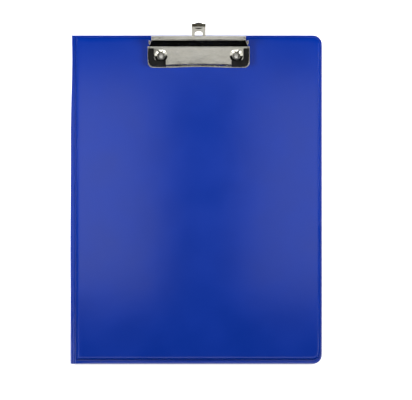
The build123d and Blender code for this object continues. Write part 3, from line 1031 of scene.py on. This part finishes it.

# %% [markdown]
# ## The torsion springs
# Each spring is a wire that starts as a leg on the base plate, makes three and a bit turns round the axle
# and ends as a leg under the lever. A curve object with a bevel could make it, but here the wire is swept
# as a tube along the coil's own formula. When the jaw opens the spring winds tighter.

# %% Line of the spring's wire
axle_low, axle_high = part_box("clip_axle")
axle_y = (axle_low.y + axle_high.y) / 2
axle_z = (axle_low.z + axle_high.z) / 2
spring_low, spring_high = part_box("clip_spring_right")
spring_x = (spring_low.x + spring_high.x) / 2
coil_radius = 2.1 * mm
coil_pitch = 1.45 * mm
coil_turns = 3
lower_leg = 3.6 * mm
lower_leg_drop = 0.05 * mm
upper_leg = 5.4 * mm
riser_run = 3.5 * mm
riser_rise = 5.8 * mm
turn_steps = 36

coil_start = 1.5 * math.pi - math.asin(lower_leg_drop / lower_leg)
riser_angle = math.atan2(riser_rise, riser_run)
coil_sweep = coil_start - math.pi / 2 - riser_angle + coil_turns * math.tau
coil_length = coil_pitch * coil_sweep / math.tau


def coil_point(side, angle):
    """A point on the coil after the wire has turned by an angle."""
    turn = coil_start - angle
    advance = coil_pitch * angle / math.tau - coil_length / 2
    y = axle_y + coil_radius * math.cos(turn)
    z = axle_z + coil_radius * math.sin(turn)
    return Vector((side * (spring_x + advance), y, z))


def wire_line(side):
    """Points along one spring's wire, from its lower leg's end to its upper leg's end."""
    count = math.ceil(turn_steps * coil_sweep / math.tau)
    points = [coil_point(side, coil_sweep * step / count) for step in range(count + 1)]
    first = (points[0] - points[1]).normalized()
    last = (points[-1] - points[-2]).normalized()
    return [points[0] + first * lower_leg] + points + [points[-1] + last * upper_leg]


print("wire points:", len(wire_line(1)))

# %% Spring wire
wire_radius = 0.5 * mm
wire_sides = 16


def tube(name, line, radius, sides):
    """A round tube along a line, its section carried on without twist and its ends capped."""
    tangents = []
    for index in range(len(line)):
        before = line[max(index - 1, 0)]
        after = line[min(index + 1, len(line) - 1)]
        tangents.append((after - before).normalized())
    across = tangents[0].orthogonal().normalized()
    outlines = []
    for point, tangent in zip(line, tangents):
        across = (across - tangent * across.dot(tangent)).normalized()
        up = tangent.cross(across)
        ring = []
        for step in range(sides):
            turn = math.tau * step / sides
            ring.append(point + (across * math.cos(turn) + up * math.sin(turn)) * radius)
        outlines.append(ring)
    return loft(name, outlines)


for label, side in (("left", -1), ("right", 1)):
    wire = tube(f"spring_wire_{label}", wire_line(side), wire_radius, wire_sides)
    add_piece(wire, "spring_steel", stands_for=[f"clip_spring_{label}"])
    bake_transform(wire)
print("wire faces:", len(wire.data.polygons))

# %% [markdown]
# ## The table
# The folder lies on a white table that curves up far off, so that it is white from any side.
# A lit white world could be the background too, but it would light the folder from everywhere. So the
# table is white paint with a glow that Light Path gives only to rays that look at the background, be it
# straight, in a reflection or through glass. The glow is weaker near the folder, where its shadow falls.

# %% White table
table_flat = 6.5
table_radius = 9.0
table_rise = 1.7
table_drop = 0.3 * mm
table_rings = (0.3, 0.6, 1.2, 2.4, 4.5, table_flat)
curve_steps = 8
around = 64


def make_table():
    """A flat disc with a border that curves up, as rings of points round its centre."""
    profile = [(radius, 0.0) for radius in table_rings]
    for step in range(1, curve_steps + 1):
        turn = math.pi / 2 * step / curve_steps
        radius = table_flat + (table_radius - table_flat) * math.sin(turn)
        profile.append((radius, table_rise * (1 - math.cos(turn))))
    bm = bmesh.new()
    centre = bm.verts.new((0, 0, 0))
    rows = []
    for radius, height in profile:
        ring = arc(0, 0, radius, 0, 360, around)[:-1]
        rows.append([bm.verts.new((x, y, height)) for x, y in ring])
    for i in range(around):
        bm.faces.new((centre, rows[0][i], rows[0][(i + 1) % around]))
    for row, following in zip(rows, rows[1:]):
        for i in range(around):
            j = (i + 1) % around
            bm.faces.new((row[i], following[i], following[j], row[j]))
    table = piece_from_bmesh("table", bm)
    table.location.z = cad_box[0][2] - table_drop
    table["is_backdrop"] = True
    return table


table = make_table()
print("table radius:", table_radius, "m")

# %% Paint and glow of the table
table_shade = 0.82
glow_near = 0.78
glow_far = 1.0
glow_grows_from = 0.30
glow_grows_to = 0.65


def matt_paint(name, shade):
    """The material and shader of matt paint in a shade of grey."""
    grey = (shade, shade, shade, 1.0)
    return new_material(name, Base_Color=grey, Roughness=0.9, Specular_IOR_Level=0.0)


def background_rays(tree):
    """1 for rays that see the background straight, in a reflection or through glass."""
    rays = add_node(tree, "ShaderNodeLightPath").outputs
    seen = rays["Is Camera Ray"]
    for label in ("Is Glossy Ray", "Is Transmission Ray"):
        seen = reckoned(tree, "MAXIMUM", seen, rays[label])
    return seen


def glow_by_distance(tree):
    """The glow's strength, which grows with the distance from the folder."""
    reach = add_node(tree, "ShaderNodeVectorMath", {0: object_place(tree)}, operation="LENGTH")
    away = reach.outputs["Value"]
    return ranged(tree, away, glow_grows_from, glow_grows_to, glow_near, glow_far)


def make_table_finish():
    """White paint with a glow for the rays that look at the background."""
    material, shader = matt_paint("white_table", table_shade)
    tree = material.node_tree
    strength = reckoned(tree, "MULTIPLY", background_rays(tree), glow_by_distance(tree))
    white = {"Color": (1.0, 1.0, 1.0, 1.0), "Strength": strength}
    glow = add_node(tree, "ShaderNodeEmission", white).outputs["Emission"]
    both = add_node(tree, "ShaderNodeAddShader", {0: shader.outputs["BSDF"], 1: glow})
    feed(tree, tree.nodes["Material Output"].inputs["Surface"], both.outputs["Shader"])
    return material


table.data.materials.append(make_table_finish())
print("glow from", glow_near, "to", glow_far)

# %% [markdown]
# ## The black card
# The riser between the jaw's plate and its lever leans back at about 45 degrees, so seen from above it
# mirrors what stands in front of the folder. That would be the white table. A photographer puts a black
# card there, which gives polished metal a dark side. Here the card is a single face, seen only in
# reflections, so that it hides nothing and casts no shadow.

# %% Black card
card_half = 0.9
card_y = -0.42
card_top = 0.40
card_shade = 0.004


def make_dark_card():
    """A card in front of the folder that shows only in reflections."""
    bm = bmesh.new()
    foot = cad_box[0][2]
    corners = ((-card_half, foot), (card_half, foot), (card_half, card_top), (-card_half, card_top))
    bm.faces.new([bm.verts.new((x, card_y, z)) for x, z in corners])
    card = piece_from_bmesh("dark_card", bm)
    card.visible_camera = False
    card.visible_diffuse = False
    card.visible_shadow = False
    card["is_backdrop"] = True
    return card


black_card = matt_paint("black_card", card_shade)[0]
make_dark_card().data.materials.append(black_card)
print("card up to", card_top, "m")

# %% [markdown]
# ## Lamps
# A lamp lights the matt surfaces, and it also shows as a bright patch in the glossy ones. One lamp for
# both would be a compromise, so the two jobs are set apart. The side lamps only light. The front lamps,
# the strip and the side cards show only in reflections. The sheen boxes overhead and the ceiling card do
# both, and lay soft bands along the sheet's sides and top. The room is nearly black.

# %% Room
room_colour = (0.012, 0.012, 0.014, 1.0)


def make_room():
    """A nearly black room, so that the lamps alone shape the light."""
    world = bpy.data.worlds.new("studio_room")
    bpy.context.scene.world = world
    world.use_nodes = True
    background = world.node_tree.nodes["Background"]
    background.inputs["Color"].default_value = room_colour


make_room()
print("world:", bpy.context.scene.world.name)

# %% Soft boxes
def soft_box(name, place, aim, size, brightness, lights=True, mirrored=True):
    """A rectangular lamp of a surface brightness, which lights, is mirrored, or both."""
    width, height = size
    light = bpy.data.lights.new(name, "AREA")
    light.shape = "RECTANGLE"
    light.size = width
    light.size_y = height
    light.energy = brightness * math.pi * width * height
    lamp = bpy.data.objects.new(name, light)
    lamp.location = place
    lamp.rotation_euler = (Vector(aim) - Vector(place)).to_track_quat("-Z", "Y").to_euler()
    lamp.visible_camera = False
    lamp.visible_diffuse = lights
    lamp.visible_glossy = mirrored
    bpy.context.scene.collection.objects.link(lamp)


def soft_box_pair(name, place, aim, size, left, right, **uses):
    """Two lamps that face each other across the board, each with its own brightness."""
    for label, side, brightness in (("left", -1, left), ("right", 1, right)):
        from_place = (side * place[0], *place[1:])
        to_aim = (side * aim[0], *aim[1:])
        soft_box(f"{name}_{label}", from_place, to_aim, size, brightness, **uses)


middle = (0, 0.02, 0)
on_clip = (0, 0.14, 0)
soft_box_pair("side", (0.46, 0.12, 0.38), middle, (0.28, 0.28), 12.8, 12.3, mirrored=False)
soft_box_pair("front", (0.60, -0.38, 0.85), on_clip, (0.30, 0.30), 5.0, 4.6, lights=False)
soft_box("front_strip", (0, -0.50, 0.75), on_clip, (0.90, 0.16), 2.4, lights=False)
soft_box_pair("card", (0.72, 0.06, 0.85), on_clip, (0.46, 0.22), 1.5, 1.5, lights=False)
soft_box_pair("sheen", (0.275, 0.03, 1.12), (0.275, 0.03, 0), (0.37, 0.46), 1.32, 1.16)
soft_box("ceiling_card", (0, 0.43, 1.12), (0, 0.43, 0), (0.20, 0.33), 0.86)
scene = bpy.context.scene
scene.view_settings.view_transform = "Standard"

# %% [markdown]
# ## Camera
# The camera looks straight down from a metre above the board's face, as over a copy stand, and its lens
# follows from the width that it has to take in there. An orthographic camera would lose the perspective
# that shows a little of the clip's sides. It is aimed where the photograph's centre falls.

# %% Camera over the board
view_height = 1.0
field_width = 400.5 * mm
photo_centre = (7.1 * mm, -0.36 * mm)
sensor_width = 36.0

lens = bpy.data.cameras.new("camera")
lens.sensor_width = sensor_width
lens.lens = sensor_width * view_height / field_width
camera = bpy.data.objects.new("camera", lens)
camera.location = (*photo_centre, liner_high.z + view_height)
scene.collection.objects.link(camera)
scene.camera = camera
print("lens:", round(lens.lens, 1), "mm")

# %% Write the sizes and finish
dressed_box = [list(corner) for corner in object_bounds()]
for label, box in (("cad", cad_box), ("dressed", dressed_box)):
    print(label, [round((high - low) / mm, 2) for low, high in zip(*box)])
